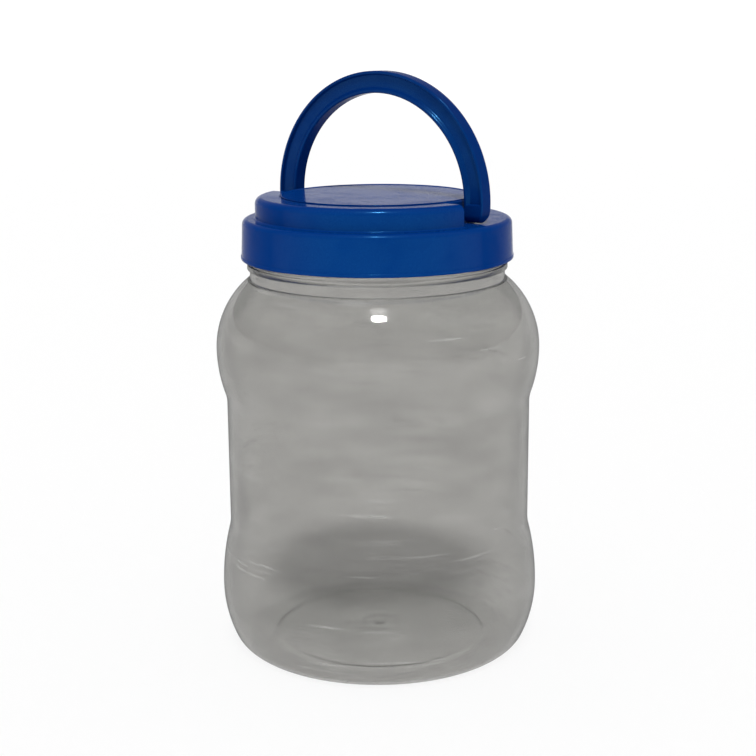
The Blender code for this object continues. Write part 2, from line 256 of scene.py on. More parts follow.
# The broken band is painted shade, a painted line that stands for the refractions seen just inside the
# outline
CLEAR_BAND_SHADE_COLOUR = (0.40, 0.40, 0.40, 1)
CLEAR_BAND_SHADE_RISE = (0.52, 0.64)
CLEAR_BAND_SHADE_FALL = (0.66, 0.74, 1.0, 0.0)
CLEAR_BAND_SHADE_PATCHES = (16.0, (1.0, 1.0, 1.5), 2.0, 0.5)
CLEAR_BAND_SHADE_AMOUNT = (0.40, 0.66, 0.0, 0.30)
CLEAR_FLOW = (22.0, (1.0, 1.0, 3.5), 4.0, 0.55)
CLEAR_WAVES = (28.0, (1.0, 1.0, 1.6), 2.0, 0.5)
CLEAR_WAVE_BUMP = (0.35, 0.0006)
CLEAR_SCUFFS = (420.0, (1.0, 1.0, 6.0), 3.0, 0.6)
CLEAR_SCUFF_BUMP = (0.06, 0.0001)
CLEAR_IOR = 1.5
CLEAR_ROUGHNESS = 0.02
CLEAR_DULL_ROUGHNESS = 0.15
CLEAR_DULL_SHARE = 0.1
CLEAR_SMUDGES = (45.0, EVEN, 5.0, 0.6)
CLEAR_SMUDGE_AMOUNT = (0.3, 0.8, 0.0, 0.03)
CLEAR_SCRATCHES = (26.0, (1.0, 1.0, 30.0), 3.0, 0.5)
CLEAR_SCRATCH_RANGE = (0.60, 0.68)
CLEAR_WEAR = (17.0, (1.0, 1.0, 2.2), 2.0, 0.5)
CLEAR_WEAR_AMOUNT = (0.47, 0.64, 0.0, 0.28)
CLEAR_HAZE_COLOUR = (0.62, 0.62, 0.60, 1)
CLEAR_HAZE_ROUGHNESS = 0.5
CLEAR_SHADOW_COLOUR = (0.98, 0.98, 0.98, 1)

# Looks of the blue plastics. Fine specks alternate between the smooth and the rough
# value, and the shine falls from the first amount to the second as a face turns away
LID_DEEP_COLOUR = (0.0002, 0.030, 0.184, 1)
LID_PALE_COLOUR = (0.0004, 0.036, 0.204, 1)
LID_SMOOTH = 0.06
LID_ROUGH = 0.27
HANDLE_DEEP_COLOUR = (0.0002, 0.021, 0.136, 1)
HANDLE_PALE_COLOUR = (0.0004, 0.026, 0.156, 1)
HANDLE_SMOOTH = 0.09
HANDLE_ROUGH = 0.30
BLUE_FLOW = (18.0, (1.0, 1.0, 2.5), 4.0, 0.55)
BLUE_SMUDGES = (70.0, EVEN, 5.0, 0.65)
BLUE_SMUDGE_RANGE = (0.35, 0.75)
BLUE_SMUDGE_ROUGHNESS = 0.10
BLUE_SPECKS = (4000.0, EVEN, 1.0, 0.5)
BLUE_SPECK_RANGE = (0.47, 0.55)
BLUE_GRAIN = (900.0, EVEN, 2.0, 0.5)
BLUE_GRAIN_BUMP = (0.10, 0.00008)
BLUE_SCRATCHES = (160.0, (0.15, 2.5, 1.0), 2.0, 0.4)
BLUE_SCRATCH_BUMP = (0.05, 0.0002)
BLUE_WARP = (48.0, (1.0, 1.6, 1.0), 3.0, 0.55)
BLUE_WARP_BUMP = (0.25, 0.0004)
BLUE_SHINE = (0.10, 0.38, 0.5, 0.016)
BLUE_CLEAN_AMOUNT = (0.48, 0.66, 1.1, 0.6)
BLUE_IOR = 1.42
BLUE_SPECULAR_TINT = (0.08, 0.5, 1.0, 1)

# Looks of the foam; its pores are painted darker as shade
FOAM_COLOUR = (0.84, 0.84, 0.82, 1)
FOAM_PORE_SHADE_COLOUR = (0.74, 0.74, 0.72, 1)
FOAM_CELLS = 1400.0
FOAM_CELL_RANGE = (0.0, 0.8)
FOAM_BUMP = (0.5, 0.0002)
FOAM_ROUGHNESS = 0.8


def add_object(name, mesh_data, material=None, sharp_angle=SHARP_ANGLE):
    """Makes a smooth-shaded object of a bmesh, with faces pointing out."""
    bmesh.ops.recalc_face_normals(mesh_data, faces=mesh_data.faces)
    mesh = bpy.data.meshes.new(name)
    mesh_data.to_mesh(mesh)
    mesh_data.free()
    mesh.shade_smooth()
    mesh.set_sharp_from_angle(angle=math.radians(sharp_angle))
    thing = bpy.data.objects.new(name, mesh)
    if material:
        mesh.materials.append(material)
    bpy.context.scene.collection.objects.link(thing)
    return thing


def combine(thing, tool, operation):
    """Applies a Boolean of the tool to the thing, and removes the tool."""
    step = thing.modifiers.new(tool.name, "BOOLEAN")
    step.operation = operation
    step.solver = "EXACT"
    step.object = tool
    graph = bpy.context.evaluated_depsgraph_get()
    mesh = bpy.data.meshes.new_from_object(thing.evaluated_get(graph))
    thing.modifiers.clear()
    thing.data = mesh
    bpy.data.objects.remove(tool, do_unlink=True)


def even_normals(thing, sharp_angle=SHARP_ANGLE):
    """Smooth shading that keeps flat faces flat beside their rounded edges."""
    thing.data.shade_smooth()
    thing.data.set_sharp_from_angle(angle=math.radians(sharp_angle))
    step = thing.modifiers.new("even normals", "WEIGHTED_NORMAL")
    step.keep_sharp = True


def arc(centre, radius, start, end, steps):
    """Points along an arc, with the angles in radians."""
    points = []
    for step in range(steps + 1):
        angle = start + (end - start) * step / steps
        across = centre[0] + radius * math.cos(angle)
        points.append((across, centre[1] + radius * math.sin(angle)))
    return points


def step_between(value, low, high):
    """0 below low and 1 above high, with a smooth rise between them."""
    share = min(1.0, max(0.0, (value - low) / (high - low)))
    return share * share * (3 - 2 * share)


def rounded(corners, steps=CORNER_STEPS):
    """An open outline through (radius, height, rounding) corners."""
    points = []
    for index, (radius, height, curve) in enumerate(corners):
        if curve == 0.0 or index in (0, len(corners) - 1):
            points.append((radius, height))
            continue
        here = Vector((radius, height))
        back = (Vector(corners[index - 1][:2]) - here).normalized()
        ahead = (Vector(corners[index + 1][:2]) - here).normalized()
        half = back.angle(ahead) / 2
        reach = curve / math.tan(half)
        start = here + back * reach
        end = here + ahead * reach
        centre = here + (back + ahead).normalized() * curve / math.sin(half)
        first = math.atan2(start.y - centre.y, start.x - centre.x)
        last = math.atan2(end.y - centre.y, end.x - centre.x)
        turn = (last - first + math.pi) % (2 * math.pi) - math.pi
        points += arc(centre, curve, first, first + turn, steps)
    return points


def turned(outline, ridge=None, sides=SIDES):
    """Turns a closed outline of (radius, height) points round the Z axis.

    ridge, if given, is a function of (radius, angle, height) that returns how
    far a point moves outwards.
    """
    mesh_data = bmesh.new()
    rings = []
    for radius, height in outline:
        if radius == 0.0:
            rings.append([mesh_data.verts.new((0.0, 0.0, height))])
            continue
        ring = []
        for side in range(sides):
            angle = 2 * math.pi * side / sides
            reach = radius + (ridge(radius, angle, height) if ridge else 0.0)
            place = (reach * math.cos(angle), reach * math.sin(angle), height)
            ring.append(mesh_data.verts.new(place))
        rings.append(ring)
    for index, ring in enumerate(rings):
        following = rings[(index + 1) % len(rings)]
        if len(ring) == 1 and len(following) == 1:
            continue
        for side in range(sides):
            after = (side + 1) % sides
            if len(ring) == 1:
                corners = [ring[0], following[after], following[side]]
            elif len(following) == 1:
                corners = [ring[side], ring[after], following[0]]
            else:
                corners = [ring[side], ring[after], following[after], following[side]]
            mesh_data.faces.new(corners)
    return mesh_data


def swept(loops):
    """Joins closed loops of points, one after the other, and caps both ends."""
    mesh_data = bmesh.new()
    rings = [[mesh_data.verts.new(point) for point in loop] for loop in loops]
    count = len(rings[0])
    for ring, following in zip(rings, rings[1:]):
        for side in range(count):
            after = (side + 1) % count
            mesh_data.faces.new([ring[side], ring[after], following[after], following[side]])
    mesh_data.faces.new(rings[0])
    mesh_data.faces.new(rings[-1])
    return mesh_data


def box_between(low, high):
    """A plain box between two corners."""
    loops = []
    for height in (low[2], high[2]):
        loops.append([(low[0], low[1], height), (high[0], low[1], height),
                      (high[0], high[1], height), (low[0], high[1], height)])
    return swept(loops)


def thread(wall_radius, outward, foot, turns, lead):
    """A function for turned that raises a helical ridge on the wall at wall_radius."""
    half_root = THREAD_ROOT_WIDTH / 2
    half_tip = THREAD_TIP_WIDTH / 2

    def ridge(radius, angle, height):
        if abs(radius - wall_radius) > FINISH_STEP / 4:
            return 0.0
        raised = 0.0
        for whole in range(math.ceil(lead + turns) + 1):
            place = angle / (2 * math.pi) + whole
            run = min(place - lead, lead + turns - place)
            if run <= 0.0:
                continue
            away = abs(height - foot - THREAD_PITCH * place)
            flank = step_between(half_root - away, 0.0, half_root - half_tip)
            raised = max(raised, flank * min(1.0, run / THREAD_FADE_TURNS))
        return outward * THREAD_DEPTH * raised

    return ridge


def levels(low, high, step):
    """Heights from low to high, evenly spaced and at most a step apart."""
    count = math.ceil((high - low) / step)
    return [low + (high - low) * index / count for index in range(count + 1)]


def crease(bulge_centre, bulge_curve, waist, curve, upward):
    """(angle on the bulge, centre) of the hollow curve between a bulge and the waist.

    upward is 1 where the waist lies above the bulge, and -1 where it lies below.
    """
    across = waist + curve - bulge_centre[0]
    along = math.sqrt((bulge_curve + curve) ** 2 - across ** 2)
    return math.atan2(along, across) * upward, (waist + curve, bulge_centre[1] + along * upward)


def jar_side(inset, top_radius):
    """The jar's side from the standing ring up to where it reaches top_radius."""
    foot_centre = (BULGE_RADIUS - LOW_FOOT_CURVE, LOW_BULGE_HEIGHT)
    heel_drop = LOW_BULGE_HEIGHT - HEEL_CURVE
    heel_reach = math.sqrt((LOW_FOOT_CURVE - HEEL_CURVE) ** 2 - heel_drop ** 2)
    heel_centre = (foot_centre[0] + heel_reach, HEEL_CURVE)
    heel_angle = math.atan2(heel_drop, heel_reach)
    waist = BULGE_RADIUS - WAIST_DEPTH - inset

    low_centre = (BULGE_RADIUS - LOW_CROWN_CURVE, LOW_BULGE_HEIGHT)
    low_bulge = LOW_CROWN_CURVE - inset
    low_curve = LOW_CREASE_CURVE + inset
    low_angle, low_crease = crease(low_centre, low_bulge, waist, low_curve, 1)
    high_centre = (BULGE_RADIUS - HIGH_FOOT_CURVE, HIGH_BULGE_HEIGHT)
    high_bulge = HIGH_FOOT_CURVE - inset
    high_curve = HIGH_CREASE_CURVE + inset
    high_angle, high_crease = crease(high_centre, high_bulge, waist, high_curve, -1)
    shoulder_centre = (BULGE_RADIUS - SHOULDER_CURVE, HIGH_BULGE_HEIGHT)
    shoulder = SHOULDER_CURVE - inset
    shoulder_angle = math.acos((top_radius - shoulder_centre[0]) / shoulder)

    points = arc(heel_centre, HEEL_CURVE - inset, -math.pi / 2, -heel_angle, BULGE_STEPS)
    points += arc(foot_centre, LOW_FOOT_CURVE - inset, -heel_angle, 0, BULGE_STEPS)[1:]
    points += arc(low_centre, low_bulge, 0, low_angle, BULGE_STEPS)[1:]
    points += arc(low_crease, low_curve, low_angle + math.pi, math.pi, CREASE_STEPS)[1:]
    points += [(waist, height) for height in levels(low_crease[1], high_crease[1], WAIST_STEP)[1:-1]]
    points += arc(high_crease, high_curve, math.pi, high_angle + math.pi, CREASE_STEPS)
    points += arc(high_centre, high_bulge, high_angle, 0, BULGE_STEPS)[1:]
    points += arc(shoulder_centre, shoulder, 0, shoulder_angle, SHOULDER_STEPS)[1:]
    return points


def base_outline(inset):
    """The base from the jar's axis out to the standing ring, raised by the inset."""
    rim = PUSH_UP_STEP + inset
    curve = PUSH_UP_INSIDE_CURVE if inset else PUSH_UP_CURVE
    dome = rim + PUSH_UP_DOME
    corners = [(0.0, dome, 0.0)]
    if inset == 0.0:
        corners = [(0.0, dome - GATE_HEIGHT, 0.0),
                   (GATE_RADIUS, dome - GATE_HEIGHT, GATE_CURVE),
                   (GATE_RADIUS, dome, 0.0),
                   (GATE_RING_RADIUS - GATE_RING_HEIGHT, dome, GATE_RING_CURVE),
                   (GATE_RING_RADIUS, dome - GATE_RING_HEIGHT, GATE_RING_CURVE)]
    for share in DOME_SHARES:
        corners.append((PUSH_UP_RADIUS * share, rim + PUSH_UP_DOME * (1 - share ** 2), 0.0))
    corners.append((PUSH_UP_RADIUS, rim, curve))
    corners.append((PUSH_UP_RADIUS + PUSH_UP_SLOPE, inset, curve))
    corners.append((PUSH_UP_RADIUS + PUSH_UP_SLOPE + curve, inset, 0.0))
    return rounded(corners)


def make_jar(material):
    """The clear jar: its outside from the base up, then its inside back down."""
    ring = NECK_RADIUS + RING_DEPTH
    outside = jar_side(0.0, LEDGE_RADIUS)
    inside = jar_side(BODY_WALL, NECK_RADIUS - BODY_WALL)
    outline = base_outline(0.0)
    outline += outside[:-2]
    outline += rounded([
        outside[-2] + (0.0,),
        (LEDGE_RADIUS, NECK_FOOT, NECK_CURVE),
        (NECK_RADIUS, NECK_FOOT, NECK_CURVE),
        (NECK_RADIUS, RING_FOOT, RING_CURVE),
        (ring, RING_FOOT, RING_CURVE),
        (ring, RING_TOP, RING_CURVE),
        (THREAD_RADIUS, RING_TOP, RING_CURVE),
        (THREAD_RADIUS, RING_TOP + RING_HEIGHT, 0.0),
    ])[1:]
    finish = levels(RING_TOP + RING_HEIGHT, MOUTH - MOUTH_CURVE, FINISH_STEP)
    outline += [(THREAD_RADIUS, height) for height in finish[1:-1]]
    outline += rounded([
        (THREAD_RADIUS, finish[-1], 0.0),
        (THREAD_RADIUS, MOUTH, MOUTH_CURVE),
        (BORE_RADIUS, MOUTH, MOUTH_CURVE),
        (BORE_RADIUS, MOUTH - NECK_WALL, 0.0),
    ])
    outline += rounded([
        (BORE_RADIUS, MOUTH - NECK_WALL, 0.0),
        (BORE_RADIUS, RING_TOP + RING_HEIGHT, BODY_WALL),
        (NECK_RADIUS - BODY_WALL, RING_FOOT, BODY_WALL),
        inside[-1] + (NECK_CURVE,),
        inside[-2] + (0.0,),
    ])[1:-1]
    outline += reversed(inside[:-1])
    outline += reversed(base_outline(BODY_WALL))
    foot = RING_TOP + THREAD_START_LIFT + THREAD_ROOT_WIDTH / 2
    ridge = thread(THREAD_RADIUS, 1, foot, NECK_THREAD_TURNS, 0.0)
    jar = add_object("clear_jar", turned(outline, ridge), material, SOFT_SHARP_ANGLE)
    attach(jar, "jar")
    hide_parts("jar_body")


def make_wad(material):
    """The foam disc, with the ring that the jar's mouth has pressed into it."""
    press = WAD_LOW.z + WAD_PRESS_DEPTH
    slope = WAD_EDGE_CURVE
    outline = rounded([
        (0.0, WAD_LOW.z, 0.0),
        (BORE_RADIUS - slope, WAD_LOW.z, 0.0),
        (BORE_RADIUS, press, 0.0),
        (THREAD_RADIUS, press, 0.0),
        (THREAD_RADIUS + slope, WAD_LOW.z, 0.0),
        (WAD_HIGH.x, WAD_LOW.z, WAD_EDGE_CURVE),
        (WAD_HIGH.x, WAD_HIGH.z, WAD_EDGE_CURVE),
        (0.0, WAD_HIGH.z, 0.0),
    ])
    wad = add_object("foam_wad", turned(outline), material)
    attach(wad, "wad")
    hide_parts("seal_wad")


def boss_outline(foot, top, radius, curve, flare=0.0):
    """A solid turned boss with a rounded top edge, and a hollow curve at its foot."""
    corners = [(0.0, foot, 0.0)]
    if flare:
        corners += [(radius + flare, foot, 0.0), (radius + flare, PLATE_TOP, 0.0),
                    (radius, PLATE_TOP, flare * BOSS_FOOT_SHARE)]
    else:
        corners += [(radius, foot, 0.0)]
    corners += [(radius, top, curve), (0.0, top, 0.0)]
    return rounded(corners, BOSS_CORNER_STEPS)


def half_boss(name, outline, face, edge_curve):
    """The part of a turned boss in front of a flat face across the lid."""
    boss = add_object(name, turned(outline))
    low = min(height for radius, height in outline)
    high = max(height for radius, height in outline)
    reach = max(radius for radius, height in outline) + OVERRUN
    behind = box_between((-reach, face, low - OVERRUN), (reach, reach, high + OVERRUN))
    combine(boss, add_object(name + "_trim", behind), "DIFFERENCE")
    if edge_curve:
        round_face_edges(boss, face, low, edge_curve)
    return boss


def round_face_edges(boss, face, low, curve):
    """Rounds the edges of a boss's flat face, other than the one at its foot."""
    mesh_data = bmesh.new()
    mesh_data.from_mesh(boss.data)
    edges = []
    for edge in mesh_data.edges:
        on_face = all(abs(vert.co.y - face) < TOUCHING for vert in edge.verts)
        at_foot = all(abs(vert.co.z - low) < TOUCHING for vert in edge.verts)
        if on_face and not at_foot:
            edges.append(edge)
    bmesh.ops.bevel(mesh_data, geom=edges, offset=curve, offset_type="OFFSET",
                    segments=CORNER_STEPS, profile=0.5, affect="EDGES", clamp_overlap=True)
    mesh_data.to_mesh(boss.data)
    mesh_data.free()


def make_lid(material):
    """The screw lid: skirt, bosses and disc joined, then hollowed and drilled."""
    bead = LID_RADIUS + SKIRT_BEAD
    crown = LID_RADIUS - SKIRT_DRAFT
    bead_top = SKIRT_FOOT + SKIRT_BEAD_HEIGHT
    skirt = rounded([
        (0.0, SKIRT_FOOT, 0.0),
        (bead, SKIRT_FOOT, SKIRT_CURVE),
        (bead, bead_top, SKIRT_BEAD / 2),
        (LID_RADIUS, bead_top + SKIRT_BEAD, SKIRT_BEAD / 2),
        (crown, PLATE_TOP, LID_EDGE_CURVE),
        (0.0, PLATE_TOP, 0.0),
    ], LID_CORNER_STEPS)
    lid = add_object("blue_lid", turned(skirt), material)

    root = PLATE_TOP - LID_PLATE / 2
    narrow = boss_outline(root, WIDE_TOP, NARROW_BOSS_RADIUS, NARROW_EDGE_CURVE, BOSS_FOOT_CURVE)
    combine(lid, add_object("narrow_boss", turned(narrow)), "UNION")
    wide = boss_outline(root, WIDE_TOP, WIDE_BOSS_RADIUS, WIDE_EDGE_CURVE, BOSS_FOOT_CURVE)
    combine(lid, half_boss("wide_boss", wide, -STEP_SETBACK, STEP_EDGE_CURVE), "UNION")
    rim = NARROW_BOSS_RADIUS - NARROW_EDGE_CURVE
    disc = rounded([
        (0.0, WIDE_TOP - LID_PLATE / 2, 0.0),
        (rim, WIDE_TOP - LID_PLATE / 2, 0.0),
        (rim, DISC_TOP, DISC_EDGE_CURVE),
        (rim - LIP_WIDTH / 2, DISC_TOP, DISC_EDGE_CURVE),
        (rim - LIP_WIDTH, DISC_TOP - LIP_HEIGHT, DISC_EDGE_CURVE),
        (0.0, DISC_TOP - LIP_HEIGHT, 0.0),
    ])
    combine(lid, add_object("disc", turned(disc)), "UNION")
    start = rim - GROOVE_OVERLAP
    groove = [(start, WIDE_TOP - GROOVE_DEPTH), (start + GROOVE_WIDTH, WIDE_TOP - GROOVE_DEPTH),
              (start + GROOVE_WIDTH, DISC_TOP), (start, WIDE_TOP)]
    combine(lid, half_boss("disc_groove", groove, -STEP_SETBACK, 0.0), "DIFFERENCE")

    below = SKIRT_FOOT - OVERRUN
    corner = PLATE_FOOT - CAVITY_CURVE
    bore = levels(SKIRT_FOOT - OVERRUN / 4, corner, FINISH_STEP)
    hollow = [(0.0, below), (LID_BORE + OVERRUN, below), (LID_BORE + OVERRUN, SKIRT_FOOT - OVERRUN / 2)]
    hollow += [(LID_BORE, height) for height in bore]
    hollow += arc((LID_BORE - CAVITY_CURVE, corner), CAVITY_CURVE, 0, math.pi / 2, CAVITY_STEPS)[1:]
    hollow += boss_outline(PLATE_FOOT, DISC_TOP - BOSS_WALL, NARROW_BOSS_RADIUS - BOSS_WALL,
                           NARROW_EDGE_CURVE)[1:]
    foot = RING_TOP + THREAD_START_LIFT + (THREAD_ROOT_WIDTH - THREAD_PITCH) / 2
    ridge = thread(LID_BORE, -1, foot, LID_THREAD_TURNS, LID_THREAD_LEAD)
    combine(lid, add_object("lid_hollow", turned(hollow, ridge)), "DIFFERENCE")
    wide_hollow = boss_outline(PLATE_FOOT - LID_PLATE / 2, WIDE_TOP - BOSS_WALL,
                               WIDE_BOSS_RADIUS - BOSS_WALL, WIDE_EDGE_CURVE - BOSS_WALL)
    combine(lid, half_boss("wide_hollow", wide_hollow, -STEP_SETBACK - BOSS_WALL, 0.0), "DIFFERENCE")
    reach = NARROW_BOSS_RADIUS + OVERRUN
    drill = rod_along_x(-reach, reach, PIN_RADIUS + PIN_CLEARANCE, 0.0)
    combine(lid, add_object("pin_drill", drill), "DIFFERENCE")
    even_normals(lid)
    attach(lid, "lid")
    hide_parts("screw_lid")


def rod_along_x(start, end, radius, tip_curve):
    """A round rod on the pivots' axis, with its end at start rounded."""
    toward = 1 if end > start else -1
    stations = [(end, radius)]
    if tip_curve:
        for step in range(CORNER_STEPS + 1):
            angle = math.pi / 2 * step / CORNER_STEPS
            stations.append((start + toward * tip_curve * (1 - math.sin(angle)),
                             radius - tip_curve * (1 - math.cos(angle))))
    else:
        stations.append((start, radius))
    loops = []
    for place, reach in stations:
        loop = []
        for side in range(PIN_SIDES):
            angle = 2 * math.pi * side / PIN_SIDES
            across = PIVOT_OFFSET + reach * math.cos(angle)
            loop.append((place, across, PIVOT_HEIGHT + reach * math.sin(angle)))
        loops.append(loop)
    return swept(loops)


def half_section():
    """Points across the handle: distance from its inner edge, half its thickness there,
    and the share of the channel's depth."""
    half = HANDLE_THICKNESS / 2
    curve = HANDLE_CORNER_CURVE
    points = []
    for step in range(CORNER_STEPS + 1):
        angle = math.pi / 2 * step / CORNER_STEPS
        points.append((curve * (1 - math.cos(angle)), half - curve * (1 - math.sin(angle)), 0.0))
    inner_slope = (INNER_RIM, INNER_RIM + INNER_SLOPE)
    outer_slope = (HANDLE_WIDTH - OUTER_RIM - OUTER_SLOPE, HANDLE_WIDTH - OUTER_RIM)
    inner_step = INNER_SLOPE / INNER_SLOPE_STEPS
    outer_step = OUTER_SLOPE / OUTER_SLOPE_STEPS
    margin = OUTER_SLOPE / 4
    places = levels(inner_slope[0] - inner_step, inner_slope[1] + inner_step, inner_step)
    places += levels(inner_slope[1] + inner_step * 2, outer_slope[0] - margin * 2, CHANNEL_STEP)
    places += levels(outer_slope[0] - margin, outer_slope[1] + margin, outer_step)
    for place in places:
        share = step_between(place, *inner_slope) - step_between(place, *outer_slope)
        points.append((place, half, share))
    for distance, thickness, share in reversed(points[:CORNER_STEPS + 1]):
        points.append((HANDLE_WIDTH - distance, thickness, share))
    return points


def handle_loop(points, outward, rise, height, thinness=1.0, depth=CHANNEL_DEPTH, tuck=0.0):
    """One closed loop round the handle, across the direction (outward, rise)."""
    loop = []
    for sign, row in ((-1, points), (1, list(reversed(points)))):
        for distance, half, share in row:
            place = ARCH_INNER_RADIUS + distance * (1 - tuck / HANDLE_WIDTH)
            across = PIVOT_OFFSET + sign * (half - depth * share) * thinness
            loop.append((place * outward, across, height + place * rise))
    return loop


def leg_loops(points, side):
    """Loops of one leg, from just below the arch down to its rounded end."""
    bottom = PIVOT_HEIGHT - HANDLE_THICKNESS / 2
    corner_height = bottom + LEG_CORNER_HEIGHT
    stations = []
    for step in range(LEDGE_STEPS + 1):
        share = step / LEDGE_STEPS
        depth = CHANNEL_DEPTH * (1 - step_between(share, 0, 1))
        stations.append((ARCH_CENTRE - LEDGE_LENGTH * share, 1.0, depth))
    straight = levels(PIVOT_HEIGHT, ARCH_CENTRE - LEDGE_LENGTH, LEG_STEP)[:-1]
    stations += [(height, 1.0, 0.0) for height in reversed(straight)]
    for step in range(1, LEG_END_STEPS + 1):
        angle = LEG_END_SHARE * math.pi / 2 * step / LEG_END_STEPS
        stations.append((PIVOT_HEIGHT - HANDLE_THICKNESS / 2 * math.sin(angle), math.cos(angle), 0.0))
    loops = []
    for height, thinness, depth in stations:
        fall = max(0.0, corner_height - height)
        tuck = LEG_CORNER_CURVE - math.sqrt(LEG_CORNER_CURVE ** 2 - fall ** 2)
        loops.append(handle_loop(points, side, 0.0, height, thinness, depth, tuck))
    return loops


def make_handle(material):
    """The arch handle: one leg, the arch and the other leg in one sweep, and its pins."""
    points = half_section()
    loops = list(reversed(leg_loops(points, -1)))
    for step in range(1, ARCH_STEPS):
        angle = math.pi * (1 - step / ARCH_STEPS)
        loops.append(handle_loop(points, math.cos(angle), math.sin(angle), ARCH_CENTRE))
    loops += leg_loops(points, 1)
    handle = add_object("arch_handle", swept(loops), material)
    tip = NARROW_BOSS_RADIUS - BOSS_WALL - PIN_REACH
    for side, name in ((-1, "left_pin"), (1, "right_pin")):
        pin = rod_along_x(side * tip, side * (ARCH_INNER_RADIUS + OVERRUN), PIN_RADIUS, PIN_TIP_CURVE)
        combine(handle, add_object(name, pin), "UNION")
    even_normals(handle, SOFT_SHARP_ANGLE)
    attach(handle, "handle")
    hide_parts("carry_handle")


def new_material(name):
    """An empty node material, as (material, function that adds a node)."""
    material = bpy.data.materials.new(name)
    material.use_nodes = True
    tree = material.node_tree
    tree.nodes.clear()

    def add(kind, settings=None, **inputs):
        node = tree.nodes.new("ShaderNode" + kind)
        for key, value in (settings or {}).items():
            setattr(node, key, value)
        for key, value in inputs.items():
            numbered = key[0] == "i" and key[1:].isdigit()
            socket = node.inputs[int(key[1:]) if numbered else key.replace("_", " ")]
            if isinstance(value, bpy.types.NodeSocket):
                tree.links.new(value, socket)
            else:
                socket.default_value = value
        return node

    return material, add


def object_noise(add, scale, stretch, detail, roughness):
    """Noise in the piece's own metres, as a socket from about 0 to 1."""
    place = add("TexCoord").outputs["Object"]
    spread = add("Mapping", Vector=place, Scale=stretch)
    noise = add("TexNoise", Vector=spread.outputs["Vector"], Scale=scale, Detail=detail,
                Roughness=roughness)
    return noise.outputs["Fac"]


def ramp_between(add, value, low, high, out_low=0.0, out_high=1.0):
    """The value's range from low to high mapped to another range, with ends held."""
    return add("MapRange", Value=value, From_Min=low, From_Max=high, To_Min=out_low,
               To_Max=out_high).outputs["Result"]


def mixed_colour(add, share, first, second):
    return add("Mix", {"data_type": "RGBA"}, i0=share, i6=first, i7=second).outputs[2]


def calculated(add, operation, first, second):
    return add("Math", {"operation": operation}, i0=first, i1=second).outputs[0]


def bumped(add, size, height, below=None):
    """A normal with a bump of size (strength, distance) on it, over the normal below."""
    bump = add("Bump", Strength=size[0], Distance=size[1], Height=height)
    if below is not None:
        bump.id_data.links.new(below, bump.inputs["Normal"])
    return bump.outputs["Normal"]


def clear_plastic():
    """Thin blown plastic: glass with uneven walls, fine scratches and a little haze; its grey and the
    deeper grey at its outline are painted shade.
    """
    material, add = new_material("clear_plastic")
    facing = add("LayerWeight", Blend=FACING_BLEND).outputs["Facing"]
    slant = calculated(add, "POWER", facing, CLEAR_SLANT_POWER)
    # Painted shade: the grey stands for a dim room seen through, the flow noise for the uneven wall
    flow = object_noise(add, *CLEAR_FLOW)
    shaded_wall = mixed_colour(add, ramp_between(add, flow, *FLOW_RANGE), CLEAR_THICK_SHADED_COLOUR, CLEAR_THIN_SHADED_COLOUR)
    # Painted shade aslant and at the rim
    soft = mixed_colour(add, slant, shaded_wall, CLEAR_SLANT_SHADE_COLOUR)
    dark = mixed_colour(add, ramp_between(add, facing, *CLEAR_RIM_SHADE_RANGE), soft, CLEAR_RIM_SHADE_COLOUR)
    # Painted shade in a broken band just inside the outline
    band = calculated(add, "MULTIPLY", ramp_between(add, facing, *CLEAR_BAND_SHADE_RISE),
                      ramp_between(add, facing, *CLEAR_BAND_SHADE_FALL))
    patch = ramp_between(add, object_noise(add, *CLEAR_BAND_SHADE_PATCHES), *CLEAR_BAND_SHADE_AMOUNT)
    shaded_tint = mixed_colour(add, calculated(add, "MULTIPLY", band, patch), dark, CLEAR_BAND_SHADE_COLOUR)

    waves = bumped(add, CLEAR_WAVE_BUMP, object_noise(add, *CLEAR_WAVES))
    normal = bumped(add, CLEAR_SCUFF_BUMP, object_noise(add, *CLEAR_SCUFFS), waves)
    clear = add("BsdfGlass", Color=shaded_tint, Roughness=CLEAR_ROUGHNESS, IOR=CLEAR_IOR, Normal=normal)
    dull = add("BsdfGlass", Color=shaded_tint, Roughness=CLEAR_DULL_ROUGHNESS, IOR=CLEAR_IOR, Normal=normal)
    glass = add("MixShader", i0=CLEAR_DULL_SHARE, i1=clear.outputs[0], i2=dull.outputs[0])

    smudge = object_noise(add, *CLEAR_SMUDGES)
    lines = object_noise(add, *CLEAR_SCRATCHES)
    worn = object_noise(add, *CLEAR_WEAR)
    scratch = calculated(add, "MULTIPLY", ramp_between(add, lines, *CLEAR_SCRATCH_RANGE),
                         ramp_between(add, worn, *CLEAR_WEAR_AMOUNT))
    amount = calculated(add, "ADD", ramp_between(add, smudge, *CLEAR_SMUDGE_AMOUNT), scratch)
    haze = add("BsdfDiffuse", Color=CLEAR_HAZE_COLOUR, Roughness=CLEAR_HAZE_ROUGHNESS)
    hazy = add("MixShader", i0=amount, i1=glass.outputs[0], i2=haze.outputs[0])

    path = add("LightPath")
    light = calculated(add, "MAXIMUM", path.outputs["Is Shadow Ray"], path.outputs["Is Diffuse Ray"])
    pass_light = add("BsdfTransparent", Color=CLEAR_SHADOW_COLOUR)
    whole = add("MixShader", i0=light, i1=hazy.outputs[0], i2=pass_light.outputs[0])
    add("OutputMaterial", Surface=whole.outputs[0])
    return material


